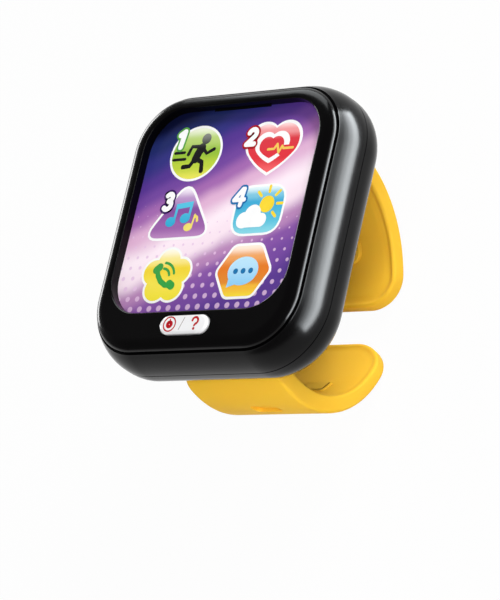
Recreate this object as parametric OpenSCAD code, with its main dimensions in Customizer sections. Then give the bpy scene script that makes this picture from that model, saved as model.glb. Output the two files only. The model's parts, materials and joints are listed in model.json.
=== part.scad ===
// Toy wrist watch: a gloss case with a printed key face, one press button and an open cuff strap.
// It stands face up on the two strap ends: +X is 3 o'clock, +Y is 12 o'clock, +Z leaves the face.

/* [Case] */
// Width across the bezel's outer edge
bezel_w = 50; // [47:0.5:54]
// Length of the bezel from 12 to 6 o'clock
bezel_l = 53.7; // [51.5:0.5:57]
// Corner radius of the bezel's outer edge
bezel_corner_r = 11; // [10.5:0.25:12]
// Radius that rolls the bezel's front edge over
bezel_edge_r = 1.6; // [1:0.1:1.8]
// Height of the bezel's face above the strap ends
overall_h = 47.8; // [46.5:0.1:49]
// Depth of the case from the face to the back
case_depth = 16.4; // [16:0.1:17.5]
// Depth of the parting line between the mid body and the back cover
parting_depth = 8.3; // [8:0.1:8.8]
// How far the mid body swells past the bezel at the parting line
bulge = 2.4; // [1.8:0.1:3]
// Straight height of the back cover's side below the parting line
side_flat = 1.2; // [0.8:0.1:1.6]
// Wall of the mouldings
wall = 1.6; // [1.4:0.1:1.8]
// Dark groove between the bezel and the mid body
groove_w = 0.4; // [0.3:0.05:0.6]
// Depth of the mid body's upper lip below the face
lip_depth = 1.9; // [1.7:0.1:2.2]

/* [Window] */
// Width of the bezel's face beside the window
side_flange = 3.05; // [2.9:0.05:3.6]
// Width of the bezel's face above the window
top_flange = 2.65; // [2.6:0.05:3.2]
// Width of the bezel's face below the window, round the button
bottom_flange = 7.65; // [7.5:0.05:8.2]
// Corner radius of the window
window_corner_r = 8.4; // [7.5:0.1:9]
// Depth of the printed film below the face
window_depth = 2.2; // [2:0.1:2.4]

/* [Keys and board] */
// Thickness of the printed film
film_t = 0.5; // [0.4:0.05:0.6]
// How far the film runs past the window
film_margin = 0.45; // [0.3:0.05:0.5]
// Height of the rubber key sheet with its domes
key_sheet_t = 1.6; // [1.4:0.1:1.8]
// Diameter of a key dome at its foot
key_d = 10; // [9:0.5:11]
// Distance between the two key columns
key_pitch_x = 19.5; // [18.5:0.25:20]
// Distance between the three key rows
key_pitch_y = 12.8; // [12:0.1:13]
// Thickness of the circuit board
board_t = 1.2; // [1:0.1:1.4]

/* [Button] */
// Width of the pill-shaped button
button_w = 11.9; // [10.5:0.1:12.5]
// Height of the pill, along 12 to 6 o'clock
button_d = 4; // [3.6:0.1:4.2]
// Middle of the button above the bezel's lower edge
button_inset = 4.65; // [4.4:0.05:4.8]
// How far the button stands out of the face
button_proud = 0.7; // [0.7:0.05:0.9]
// Press travel of the button
button_travel = 0.7; // [0.5:0.05:0.8]

/* [Battery and speaker] */
// Diameter of a button cell
cell_d = 11.6; // [11.4:0.1:11.8]
// Thickness of a button cell
cell_t = 5.4; // [5.2:0.05:5.5]
// Middle of the cells below the middle of the case
cell_drop = 11; // [10.5:0.1:11.2]
// Diameter of the speaker
speaker_d = 16; // [14:0.5:17]
// Middle of the speaker above the middle of the case
speaker_y = 6.5; // [6.4:0.1:8]

/* [Strap] */
// Distance from the strap's side to the bezel's side edge
strap_inset = 12.9; // [12.5:0.1:14]
// Thickness of the strap at its root
strap_t = 3.7; // [3.4:0.1:4]
// Distance of the lower pin from the end of the case
lower_pin_inset = 5.72; // [5.5:0.02:5.9]
// Middle of the lower half's arc below the middle of the case
lower_drop = 6.7; // [6.2:0.1:7]
// Thinning of the lower half towards its end
lower_taper = 0.8; // [0.4:0.1:1]
// Distance of the upper pin from the end of the case
upper_pin_inset = 6.52; // [6.3:0.02:6.7]
// Middle of the upper half's arc below the middle of the case
upper_drop = 2.6; // [2.2:0.1:3]
// Thinning of the upper half towards its end
upper_taper = 0.4; // [0.2:0.1:0.6]
// Corner radius of the strap ends
strap_end_r = 7.5; // [6:0.5:8.5]
// Width of the raised rim along the strap's inner face
rim_w = 1.9; // [1.4:0.1:2.4]
// Depth of the inner face below that rim
rim_h = 0.5; // [0.3:0.1:0.7]
// Diameter of the steel pins that hold the strap halves
pin_d = 2; // [1.6:0.1:2.2]
// Height of the pins above the case back
pin_rise = 3; // [2.8:0.1:3.2]
// Angle by which a strap half opens
strap_open = 25; // [15:1:25]

/* [Hidden] */
$fn = 64;

// Overrun of every cut
over = 1;
// Gap between pieces that stand still beside each other
fit_gap = 0.1;
// Gap round pieces that move
run_gap = 0.2;
// Radial gap of a pin or screw in its hole
pin_gap = 0.03;

// Corner centres that every outline of the case turns round
corner_x = bezel_w / 2 - bezel_corner_r;
corner_y = bezel_l / 2 - bezel_corner_r;

// Levels of the case
face_z = overall_h;
part_z = face_z - parting_depth;
back_z = face_z - case_depth;
floor_z = back_z + wall;
film_top_z = face_z - window_depth;
film_z = film_top_z - film_t;
board_top_z = film_z - key_sheet_t;
board_z = board_top_z - board_t;
lip_z = face_z - lip_depth;
// Height of the bezel's shoulder below the mid body's lip
shoulder_h = 0.4;
seat_z = lip_z - shoulder_h;

// Window and button, set in from the bezel's edges
window_w = bezel_w - 2 * side_flange;
window_l = bezel_l - top_flange - bottom_flange;
window_y = (bottom_flange - top_flange) / 2;
button_drop = bezel_l / 2 - button_inset;

// Offsets from the corner centres
side_r = bezel_corner_r + bulge;
lip_r = bezel_corner_r + groove_w;
// Step from the bezel's outer edge in to its skirt
skirt_step = 0.6;
skirt_wall = 1.3;
skirt_r = bezel_corner_r - skirt_step;
skirt_in_r = skirt_r - skirt_wall;
skirt_z = board_z - fit_gap;
back_round_r = case_depth - parting_depth - side_flat;
bulge_rise = lip_z - part_z;
bulge_run = side_r - lip_r;
bulge_arc_r = (bulge_rise * bulge_rise + bulge_run * bulge_run) / (2 * bulge_run);

// Lap joint between the mid body and the back cover
lap_wall = 0.85;
tongue_w = 1;
tongue_h = 1.2;
tongue_r = side_r - lap_wall - fit_gap;

// Screw posts near the corners
post_inset = 3;
post_x = corner_x + post_inset;
post_y = corner_y + post_inset;
post_r = 2.6;
rib_w = 1.4;
peg_d = 1.4;
peg_h = 1;
screw_d = 2;
screw_head_d = 3.6;
screw_head_h = 1.4;
screw_sink = 2.6;
screw_bite = 2;
// Cross in a screw head, as shares of the head's diameter
cross_length_share = 0.6;
cross_width_share = 0.15;

// Board outline and what it carries
board_gap = 0.3;
board_r = skirt_in_r - board_gap;
key_web_t = 0.7;
key_top_d = 8;
key_hollow_d = 6.4;
pill_d = 5.6;
pill_t = 0.3;
pill_gap = 0.5;
key_y = 2.3;
blob_r = 4;
blob_h = 1.3;
blob_x = -corner_x;
blob_y = 9;
capacitor_d = 4;
capacitor_h = 4.2;
capacitor_x = corner_x;
capacitor_y = [6, 11.5];

// Button below the face
button_edge_r = 0.55;
ear_w = 1.6;
ear_d = 3;
// Height of the rubber dome when the button is pressed home
dome_min_h = 0.6;
ear_z = board_top_z + dome_min_h + button_travel;
ear_t = film_top_z - fit_gap - ear_z;
dome_d = 3.2;
dome_foot_d = 4.6;
dome_wall = 0.5;

// Battery bay, from its door upwards
door_t = 1.6;
door_top_z = back_z + door_t;
contact_t = 0.3;
contact_w = 6;
cell_gap = 0.3;
cell_pitch = cell_d + cell_gap;
cell_z = door_top_z + contact_t;
cell_top_z = cell_z + cell_t;
bay_w = cell_pitch + cell_d + 2 * cell_gap;
bay_l = cell_d + 2 * cell_gap;
bay_wall = 1.6;
bay_top_z = cell_top_z + contact_t;
bay_roof = 0.9;
door_seat = 0.8;
door_r = 1.6;
tab_w = 2;
tab_y = -cell_drop + cell_d / 2 - contact_t;
door_ear_r = 3;
door_ear_x = cell_pitch / 2;
door_ear_y = -cell_drop + bay_l / 2 + door_seat + door_ear_r / 2;
door_screw_d = 1.8;
door_head_d = 3.4;
door_head_h = 1;
door_screw_l = 3.4;
door_post_wall = 0.8;
door_post_roof = 1.6;

// Speaker, from the case floor upwards
gasket_t = 0.8;
gasket_w = 1.6;
basket_h = 2.4;
basket_wall = 0.8;
basket_plate = 0.8;
cone_t = 0.3;
coil_d = 5;
magnet_d = 8.5;
magnet_h = 1.8;
collar_wall = 1;
sound_hole_d = 1.4;
sound_ring_r = 3.6;
sound_count = 6;
gasket_top_z = floor_z + gasket_t;
basket_top_z = gasket_top_z + basket_h;

// Strap roots, pins and the pockets that hold them
strap_w = bezel_w - 2 * strap_inset;
strap_gap = 0.3;
end_angle = 4.6;
eye_r = 2.15;
eye_gap = 0.5;
pocket_r = eye_r + eye_gap;
pocket_wall = 1.2;
lug_wall = 2.6;
pin_seat = 2.2;
pin_z = back_z + pin_rise;
mouth_gap = 0.6;
mouth_reach = 5;
pin_l = strap_w + 2 * (strap_gap + pin_seat);

// Marks on the strap
ring_r = 3.1;
ring_wall = 0.9;
ring_h = 0.5;
ring_x = 1;
ring_angle = 32;
slot_w = 6.4;
slot_h = 3.6;
slot_depth = 0.8;
slot_x = 1.2;
slot_angle = 86;
keeper_w = 6.6;
keeper_h = 4;
keeper_wall = 0.9;
keeper_x = 1.2;
keeper_angle = 42;

// Height of a strap arc's centre, so that the end of the arc touches the ground
function arc_z(r) = r * cos(end_angle);
// Outer radius of a strap arc whose end touches the ground and whose middle line meets its pin
function arc_r(reach, rise) =
  (sqrt(pow(cos(end_angle) * rise, 2) + pow(sin(end_angle), 2) * (rise * rise + reach * reach))
    - cos(end_angle) * rise) / pow(sin(end_angle), 2) + strap_t / 2;

case_end_y = bezel_l / 2 + bulge;
lower_pin_y = lower_pin_inset - case_end_y;
upper_pin_y = case_end_y - upper_pin_inset;
pin_climb = pin_z - cos(end_angle) * strap_t / 2;
lower_r = arc_r(-lower_pin_y - lower_drop, pin_climb);
upper_r = arc_r(upper_pin_y + upper_drop, pin_climb);

// Rectangle with round corners
module rounded(w, l, r) {
  difference() {
    square([w, l], center = true);
    for (sx = [-1, 1], sy = [-1, 1])
      translate([sx * (w / 2 - r), sy * (l / 2 - r)])
        difference() {
          translate([sx * (r + over) / 2, sy * (r + over) / 2]) square(r + over, center = true);
          circle(r);
        }
  }
}

// Outline of the case at an offset from its corner centres
module case_outline(r) {
  rounded(2 * (corner_x + r), 2 * (corner_y + r), r);
}

// Solid between two levels on a case outline
module case_block(r, low, high) {
  translate([0, 0, low]) linear_extrude(high - low) case_outline(r);
}

// Profile of offset and height, swept round the case
module around_case() {
  for (turn = [0:3]) {
    side_x = turn == 0 || turn == 3 ? 1 : -1;
    side_y = turn < 2 ? 1 : -1;
    translate([side_x * corner_x, side_y * corner_y, 0])
      rotate([0, 0, 90 * turn]) rotate_extrude(angle = 90) children();
  }
  for (turn = [0, 180])
    rotate([0, 0, turn]) {
      translate([corner_x, 0, 0]) rotate([90, 0, 0]) linear_extrude(2 * corner_y, center = true) children();
      translate([0, corner_y, 0]) rotate([90, 0, 90]) linear_extrude(2 * corner_x, center = true) children();
    }
}

// Profile that rounds an edge off: the corner of a square outside a circle
module edge_off(r, height, radius, up) {
  difference() {
    translate([r - radius, up ? height - radius : height - over]) square(radius + over);
    translate([r - radius, up ? height - radius : height + radius]) circle(radius);
  }
}

// Cylinder between two levels
module post(x, y, d, low, high) {
  translate([x, y, low]) cylinder(d = d, h = high - low);
}

// Children at the four screw posts
module at_posts() {
  for (sx = [-1, 1], sy = [-1, 1]) translate([sx * post_x, sy * post_y, 0]) children();
}

// Children at the six keys
module at_keys() {
  for (column = [-1, 1], row = [-1:1])
    translate([column * key_pitch_x / 2, key_y + row * key_pitch_y, 0]) children();
}

// Flat pill outline along X
module pill_outline(w, d) {
  square([w - d, d], center = true);
  for (side = [-1, 1]) translate([side * (w - d) / 2, 0]) circle(d = d);
}

// Pill with a rounded upper edge
module pill(w, d, low, high, edge) {
  module half() {
    difference() {
      translate([0, low]) square([d / 2, high - low]);
      edge_off(d / 2, high, edge, true);
    }
  }
  for (side = [-1, 1]) translate([side * (w - d) / 2, 0, 0]) rotate_extrude() half();
  rotate([90, 0, 90]) linear_extrude(w - d, center = true) {
    half();
    mirror([1, 0]) half();
  }
}

module film_outline() {
  translate([0, window_y])
    rounded(window_w + 2 * film_margin, window_l + 2 * film_margin, window_corner_r + film_margin);
}

// Front frame with the window, the button hole and a skirt that drops into the mid body
module front_bezel() {
  color("black")
    difference() {
      case_block(bezel_corner_r, skirt_z, face_z);
      around_case() edge_off(bezel_corner_r, face_z, bezel_edge_r, true);
      around_case() translate([skirt_r, skirt_z - over]) square([skirt_step + over, seat_z - skirt_z + over]);
      case_block(skirt_in_r, skirt_z - over, film_top_z);
      translate([0, window_y, film_top_z - over])
        linear_extrude(window_depth + 2 * over) rounded(window_w, window_l, window_corner_r);
      translate([0, -button_drop, film_top_z - over])
        linear_extrude(window_depth + 2 * over) pill_outline(button_w + 2 * run_gap, button_d + 2 * run_gap);
    }
}

// Face film, held up against the bezel by the key sheet
module printed_film() {
  color("mediumpurple")
    translate([0, 0, film_z]) linear_extrude(film_t) film_outline();
}

// Rubber sheet with a hollow dome under each picture
module key_sheet() {
  color("whitesmoke")
    difference() {
      union() {
        translate([0, 0, board_top_z]) linear_extrude(key_web_t) film_outline();
        at_keys()
          translate([0, 0, board_top_z + key_web_t])
            cylinder(d1 = key_d, d2 = key_top_d, h = key_sheet_t - key_web_t);
      }
      at_keys() post(0, 0, key_hollow_d, board_top_z - over, board_top_z + pill_gap + pill_t);
    }
}

// Carbon pill in the roof of each dome
module key_pills() {
  color("dimgray")
    at_keys() post(0, 0, pill_d, board_top_z + pill_gap, board_top_z + pill_gap + pill_t);
}

module circuit_board() {
  color("darkgreen")
    difference() {
      case_block(board_r, board_z, board_top_z);
      at_posts() post(0, 0, peg_d + 2 * fit_gap, board_z - over, board_top_z + over);
    }
}

// Drop of resin over the sound chip
module chip_blob() {
  blob_sphere_r = (blob_r * blob_r + blob_h * blob_h) / (2 * blob_h);
  color("black")
    intersection() {
      translate([blob_x, blob_y, board_z - blob_h + blob_sphere_r]) sphere(blob_sphere_r);
      post(blob_x, blob_y, 2 * (blob_r + over), board_z - blob_h - over, board_z);
    }
}

module board_capacitors() {
  color("midnightblue")
    for (y = capacitor_y) post(capacitor_x, y, capacitor_d, board_z - capacitor_h, board_z);
}

// White pill with two ears that keep it under the bezel
module power_button() {
  color("white")
    translate([0, -button_drop, 0]) {
      pill(button_w, button_d, ear_z, face_z + button_proud, button_edge_r);
      for (side = [-1, 1])
        translate([side * (button_w - button_d + ear_w) / 2, 0, ear_z + ear_t / 2])
          cube([button_d + ear_w, ear_d, ear_t], center = true);
    }
}

// Rubber dome that brings the button back
module button_dome() {
  dome_h = ear_z - board_top_z;
  color("whitesmoke")
    translate([0, -button_drop, board_top_z])
      difference() {
        cylinder(d1 = dome_foot_d, d2 = dome_d, h = dome_h);
        translate([0, 0, -over])
          cylinder(d = dome_d - 2 * dome_wall, h = dome_h - dome_wall + over);
      }
}

// Swelling side ring with a seat for the bezel and posts for the board and the screws
module mid_body() {
  module profile() {
    difference() {
      intersection() {
        translate([side_r - bulge_arc_r, part_z]) circle(bulge_arc_r, $fn = 128);
        translate([skirt_r + fit_gap, part_z]) square([side_r - skirt_r, lip_z - part_z]);
      }
      translate([0, seat_z]) square([lip_r, lip_z - seat_z + over]);
      translate([0, part_z - over]) square([tongue_r + fit_gap, tongue_h + fit_gap + over]);
    }
  }
  rib_top = skirt_z - fit_gap;
  rib_z = part_z + tongue_h + fit_gap;
  color("black")
    difference() {
      union() {
        around_case() profile();
        at_posts() post(0, 0, 2 * post_r, part_z, board_z);
        at_posts() post(0, 0, peg_d, part_z, board_z + peg_h);
        for (sx = [-1, 1], sy = [-1, 1])
          translate([sx * corner_x, sy * corner_y, rib_z])
            rotate([0, 0, atan2(sy, sx)])
              translate([post_inset * sqrt(2), -rib_w / 2, 0])
                cube([lip_r - post_inset * sqrt(2), rib_w, rib_top - rib_z]);
      }
      at_posts() post(0, 0, screw_d + 2 * pin_gap, part_z - over, part_z + screw_bite + fit_gap);
    }
}

// Outer form of the back cover, with its side rolled in to the flat back
module back_form() {
  difference() {
    case_block(side_r, back_z, part_z);
    around_case() edge_off(side_r, back_z, back_round_r, false);
  }
}

// Hollow of the back cover, one wall inside the outer form
module back_hollow() {
  difference() {
    case_block(side_r - wall, floor_z, part_z + over);
    around_case() edge_off(side_r - wall, floor_z, back_round_r - wall, false);
  }
}

// Children of a strap half in its own section plane, extruded along X and set at 12 or 6 o'clock
module strap_half(side, width) {
  mirror([0, side < 0 ? 1 : 0, 0]) rotate([90, 0, 90]) linear_extrude(width, center = true) children();
}

// Clear space for a strap root, open outwards as far as the half swings
module pocket_profile(r, middle, taper, y) {
  inner_y = root_y(r, middle, taper) - mouth_gap;
  open_angle = atan2(pin_z - arc_z(r), y - middle) + strap_open;
  top = pocket_r * [cos(open_angle), sin(open_angle)];
  outer = top + mouth_reach * [sin(open_angle), -cos(open_angle)];
  translate([y, pin_z]) {
    circle(pocket_r);
    polygon([[0, 0], top, outer, [outer.x, -pin_rise - over], [inner_y - y, -pin_rise - over],
      [inner_y - y, 0]]);
  }
}

// Inner face of a strap half where it leaves the case
function root_y(r, middle, taper) =
  middle + sqrt(pow(r - strap_t, 2) - pow(back_z - arc_z(r) + taper, 2));

module pockets(width, solid) {
  strap_half(1, width)
    if (solid) translate([upper_pin_y, pin_z]) circle(pocket_r + pocket_wall);
    else pocket_profile(upper_r, -upper_drop, upper_taper, upper_pin_y);
  strap_half(-1, width)
    if (solid) translate([-lower_pin_y, pin_z]) circle(pocket_r + pocket_wall);
    else pocket_profile(lower_r, lower_drop, lower_taper, -lower_pin_y);
}

// Plan of the battery door, larger or smaller by a margin
module door_plan(margin) {
  translate([0, -cell_drop])
    rounded(bay_w + 2 * (door_seat + margin), bay_l + 2 * (door_seat + margin), door_r + margin);
  translate([door_ear_x, door_ear_y]) circle(door_ear_r + margin);
}

// Back shell with the strap pockets, the battery bay, the speaker collar and the screw posts
module back_cover() {
  color("black")
    difference() {
      union() {
        difference() {
          back_form();
          back_hollow();
        }
        intersection() {
          back_form();
          union() {
            pockets(strap_w + 2 * (strap_gap + lug_wall), true);
            at_posts() post(0, 0, 2 * post_r, back_z, part_z);
            translate([0, 0, back_z]) linear_extrude(bay_top_z + bay_roof - back_z)
              translate([0, -cell_drop]) rounded(bay_w + 2 * bay_wall, bay_l + 2 * bay_wall, door_r + bay_wall);
            post(door_ear_x, door_ear_y, 2 * (door_ear_r + door_post_wall), back_z,
              door_top_z + door_screw_l + door_post_roof);
            post(0, speaker_y, speaker_d + 2 * (fit_gap + collar_wall), back_z, basket_top_z);
          }
        }
        around_case() translate([tongue_r - tongue_w, part_z - tongue_h]) square([tongue_w, 2 * tongue_h]);
      }
      pockets(strap_w + 2 * strap_gap, false);
      for (y = [upper_pin_y, lower_pin_y])
        translate([0, y, pin_z]) rotate([0, 90, 0])
          cylinder(d = pin_d + 2 * pin_gap, h = pin_l + 2 * fit_gap, center = true);
      at_posts() {
        post(0, 0, screw_d + 2 * fit_gap, back_z - over, part_z + over);
        post(0, 0, screw_head_d + 2 * fit_gap, back_z - over, back_z + screw_sink);
      }
      translate([0, 0, back_z - over]) linear_extrude(door_t + over) door_plan(run_gap);
      translate([-bay_w / 2, -cell_drop - bay_l / 2, back_z]) cube([bay_w, bay_l, bay_top_z - back_z]);
      post(door_ear_x, door_ear_y, door_screw_d + 2 * pin_gap, back_z,
        door_top_z + door_screw_l + fit_gap);
      for (side = [-1, 1])
        translate([side * cell_pitch / 2, tab_y, bay_top_z])
          cube([tab_w + 2 * fit_gap, contact_t + 2 * fit_gap, 2 * (bay_roof + over)], center = true);
      post(0, speaker_y, speaker_d + 2 * fit_gap, floor_z, basket_top_z + over);
      post(0, speaker_y, sound_hole_d, back_z - over, floor_z + over);
      for (turn = [0:sound_count - 1])
        translate([0, speaker_y, 0]) rotate([0, 0, turn * 360 / sound_count])
          post(sound_ring_r, 0, sound_hole_d, back_z - over, floor_z + over);
    }
}

// Screws from the back into the mid body's posts
module case_screws() {
  head_z = back_z + screw_sink;
  color("silver")
    at_posts() {
      post(0, 0, screw_d, head_z, part_z + screw_bite);
      difference() {
        post(0, 0, screw_head_d, head_z - screw_head_h, head_z);
        for (turn = [0, 90])
          rotate([0, 0, turn]) translate([0, 0, head_z - screw_head_h])
            cube([screw_head_d * cross_length_share, screw_head_d * cross_width_share, screw_head_h], center = true);
      }
    }
}

module speaker_gasket() {
  color("dimgray")
    difference() {
      post(0, speaker_y, speaker_d, floor_z, gasket_top_z);
      post(0, speaker_y, speaker_d - 2 * gasket_w, floor_z - over, gasket_top_z + over);
    }
}

module speaker_frame() {
  color("darkslategray")
    difference() {
      post(0, speaker_y, speaker_d, gasket_top_z, basket_top_z);
      post(0, speaker_y, speaker_d - 2 * basket_wall, gasket_top_z - over, basket_top_z - basket_plate);
    }
}

// Thin cone with its edge in the basket's mouth
module speaker_cone() {
  cone_d = speaker_d - 2 * basket_wall - 2 * fit_gap;
  cone_h = basket_h - basket_plate - cone_t;
  color("lightgray")
    translate([0, speaker_y, gasket_top_z])
      difference() {
        cylinder(d1 = cone_d, d2 = coil_d, h = cone_h);
        translate([0, 0, -cone_t]) cylinder(d1 = cone_d, d2 = coil_d, h = cone_h);
      }
}

module speaker_magnet() {
  color("silver")
    post(0, speaker_y, magnet_d, basket_top_z, basket_top_z + magnet_h);
}

module button_cells() {
  color("silver")
    for (side = [-1, 1]) post(side * cell_pitch / 2, -cell_drop, cell_d, cell_z, cell_top_z);
}

// Plate over each cell with a tab that stands up to the board
module cell_terminals() {
  color("gold")
    for (side = [-1, 1])
      translate([side * cell_pitch / 2, 0, 0]) {
        translate([-contact_w / 2, tab_y - contact_w, cell_top_z]) cube([contact_w, contact_w, contact_t]);
        translate([-tab_w / 2, tab_y - contact_t / 2, cell_top_z])
          cube([tab_w, contact_t, board_z - cell_top_z]);
      }
}

// Door with an ear for its screw
module battery_door() {
  color("black")
    difference() {
      translate([0, 0, back_z]) linear_extrude(door_t) door_plan(0);
      post(door_ear_x, door_ear_y, door_screw_d + 2 * fit_gap, back_z - over, door_top_z + over);
      post(door_ear_x, door_ear_y, door_head_d + 2 * fit_gap, back_z - over, back_z + door_head_h);
    }
}

// Plate on the door that joins the two cells
module door_bridge() {
  color("gold")
    translate([0, -cell_drop, door_top_z + contact_t / 2])
      cube([cell_pitch + contact_w, contact_w, contact_t], center = true);
}

module door_screw() {
  color("silver") {
    difference() {
      post(door_ear_x, door_ear_y, door_head_d, back_z, back_z + door_head_h);
      for (turn = [0, 90])
        translate([door_ear_x, door_ear_y, back_z]) rotate([0, 0, turn])
          cube([door_head_d * cross_length_share, door_head_d * cross_width_share, door_head_h], center = true);
    }
    post(door_ear_x, door_ear_y, door_screw_d, back_z + door_head_h, door_top_z + door_screw_l);
  }
}

// Section of a strap half: an arc that thins towards its end, with an eye for the pin
module strap_profile(r, middle, taper, eye_y) {
  reach = 2 * r;
  translate([middle, arc_z(r)])
    intersection() {
      difference() {
        circle(r, $fn = 128);
        translate([0, -taper]) circle(r - strap_t, $fn = 128);
      }
      polygon([[0, 0], [reach * sin(end_angle), -reach * cos(end_angle)], [reach, -reach], [reach, 0],
        2 * [eye_y - middle, pin_z - arc_z(r)]]);
    }
  translate([eye_y, pin_z]) circle(eye_r);
}

// Shallow bed of the inner face, inside the rim
module bed_profile(r, middle, taper) {
  reach = 2 * r;
  rim_angle = end_angle + rim_w / r * 180 / PI;
  bed_top = back_z - rim_w - arc_z(r);
  translate([middle, arc_z(r)])
    intersection() {
      translate([0, -taper]) circle(r - strap_t + rim_h, $fn = 128);
      polygon([[0, 0], [reach * sin(rim_angle), -reach * cos(rim_angle)], [reach, -reach],
        [reach, bed_top], [0, bed_top]]);
    }
}

// Plan of a strap half from its rounded end to past the case
module strap_plan(r, middle, width, end_r) {
  end_y = middle + (r - strap_t) * sin(end_angle) - over;
  far_y = 2 * r;
  translate([0, (end_y + far_y) / 2]) rounded(width, far_y - end_y, end_r);
}

// Frame on a strap arc: children with +Z pointing out of the arc at an angle from straight down
module on_arc(x, r, middle, angle) {
  translate([x, middle, arc_z(r)]) rotate([angle, 0, 0]) rotate([180, 0, 0]) children();
}

// Strap half in its own direction, with the bore for its pin
module strap_body(r, middle, taper, eye_y) {
  difference() {
    intersection() {
      strap_half(1, strap_w) strap_profile(r, middle, taper, eye_y);
      linear_extrude(overall_h) strap_plan(r, middle, strap_w, strap_end_r);
    }
    intersection() {
      strap_half(1, strap_w - 2 * rim_w) bed_profile(r, middle, taper);
      translate([0, rim_w, 0]) linear_extrude(overall_h)
        strap_plan(r, middle, strap_w - 2 * rim_w, strap_end_r - rim_w);
    }
    translate([0, eye_y, pin_z]) rotate([0, 90, 0])
      cylinder(d = pin_d + 4 * pin_gap, h = strap_w + 2 * over, center = true);
  }
}

// Upper half with a raised ring on its inner face
module upper_strap() {
  bed_r = upper_r - strap_t + rim_h;
  color("gold") {
    strap_body(upper_r, -upper_drop, upper_taper, upper_pin_y);
    on_arc(ring_x, upper_r, -upper_drop, ring_angle)
      translate([0, 0, bed_r - ring_h])
        difference() {
          cylinder(r = ring_r, h = 2 * ring_h + rim_h);
          translate([0, 0, -over]) cylinder(r = ring_r - ring_wall, h = 2 * ring_h + rim_h + 2 * over);
        }
  }
}

// Lower half with a slot in its outer face and a raised keeper on its inner face
module lower_strap() {
  bed_r = lower_r - strap_t + rim_h;
  color("gold")
    mirror([0, 1, 0])
      difference() {
        union() {
          strap_body(lower_r, lower_drop, lower_taper, -lower_pin_y);
          on_arc(keeper_x, lower_r, lower_drop, keeper_angle)
            translate([0, 0, bed_r + rim_h])
              difference() {
                cube([keeper_w, keeper_h, 4 * rim_h], center = true);
                cube([keeper_w - 2 * keeper_wall, keeper_h - 2 * keeper_wall, 8 * rim_h], center = true);
              }
        }
        on_arc(slot_x, lower_r, lower_drop, slot_angle)
          translate([0, 0, lower_r])
            cube([slot_w, slot_h, 2 * slot_depth], center = true);
      }
}

// Steel pin along X, seated in the lugs at both ends
module strap_pin(y) {
  color("silver")
    translate([0, y, pin_z]) rotate([0, 90, 0]) cylinder(d = pin_d, h = pin_l, center = true);
}

module upper_strap_pin() {
  strap_pin(upper_pin_y);
}

module lower_strap_pin() {
  strap_pin(lower_pin_y);
}

front_bezel();
printed_film();
key_sheet();
key_pills();
circuit_board();
chip_blob();
board_capacitors();
power_button();
button_dome();
mid_body();
back_cover();
case_screws();
speaker_gasket();
speaker_frame();
speaker_cone();
speaker_magnet();
button_cells();
cell_terminals();
battery_door();
door_bridge();
door_screw();
upper_strap();
upper_strap_pin();
lower_strap();
lower_strap_pin();
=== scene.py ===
import json
from math import atan2, cos, degrees, pi, radians, sin, sqrt

import bmesh
import bpy
from mathutils import Matrix, Vector


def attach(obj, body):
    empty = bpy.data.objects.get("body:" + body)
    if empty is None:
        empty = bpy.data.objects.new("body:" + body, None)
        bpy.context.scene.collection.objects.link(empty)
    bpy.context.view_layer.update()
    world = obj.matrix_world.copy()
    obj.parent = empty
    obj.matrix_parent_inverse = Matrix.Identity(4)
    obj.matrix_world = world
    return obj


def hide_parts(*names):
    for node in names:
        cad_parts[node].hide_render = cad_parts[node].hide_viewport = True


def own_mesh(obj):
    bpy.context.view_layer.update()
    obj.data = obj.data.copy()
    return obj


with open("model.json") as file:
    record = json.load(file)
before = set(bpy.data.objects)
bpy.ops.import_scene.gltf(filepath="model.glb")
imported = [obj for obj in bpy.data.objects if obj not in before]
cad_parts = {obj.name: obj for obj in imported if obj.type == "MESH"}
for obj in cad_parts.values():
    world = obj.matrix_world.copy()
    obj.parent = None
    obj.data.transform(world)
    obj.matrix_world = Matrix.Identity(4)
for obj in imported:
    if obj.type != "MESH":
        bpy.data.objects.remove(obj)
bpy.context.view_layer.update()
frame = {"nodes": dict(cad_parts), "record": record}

# Pieces are modelled in millimetres in the part's own frame and brought to metres by done().
MM, PER_METRE = 0.001, 1000.0
FACE_Z, PART_Z, BACK_Z = 47.8, 39.5, 31.4
CORNER_X, CORNER_Y = 14.0, 15.85
SIDES = (-1, 1)
SCREW_X, SCREW_Y = 17, 18.85
SCREWS = [(sx * SCREW_X, sy * SCREW_Y) for sx in SIDES for sy in SIDES]
DOOR_Y, DOOR_SCREW, SPEAKER_Y = -11, (5.95, -2.6), 6.5
KEY_Y, PILL_Y, BUTTON_TOP = -22.2, -22.25, 48.46
FILM_Z, LAYER, LIFT = 45.6, 0.012, 0.002
PRINT_IOR = 1.33


def deselect():
    bpy.ops.object.select_all(action="DESELECT")


def pick(obj):
    """Makes obj the only selected object and the active one."""
    deselect()
    obj.select_set(True)
    bpy.context.view_layer.objects.active = obj


def named(name):
    obj = bpy.context.object
    obj.name = obj.data.name = name.replace(" ", "_")
    return obj


def edit():
    bpy.ops.object.mode_set(mode="EDIT")


def leave():
    bpy.ops.object.mode_set(mode="OBJECT")


def select(test):
    """In edit mode, selects the vertices that pass a test of vertex."""
    bpy.ops.mesh.select_mode(type="VERT")
    bpy.ops.mesh.select_all(action="DESELECT")
    mesh = bmesh.from_edit_mesh(bpy.context.object.data)
    for v in mesh.verts:
        if test(v):
            v.select = True
    mesh.select_flush(True)
    bmesh.update_edit_mesh(bpy.context.object.data)


def count():
    return len(bmesh.from_edit_mesh(bpy.context.object.data).verts)


def in_span(*spans):
    return lambda v: any(a <= v.index < b for a, b in spans)


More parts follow.
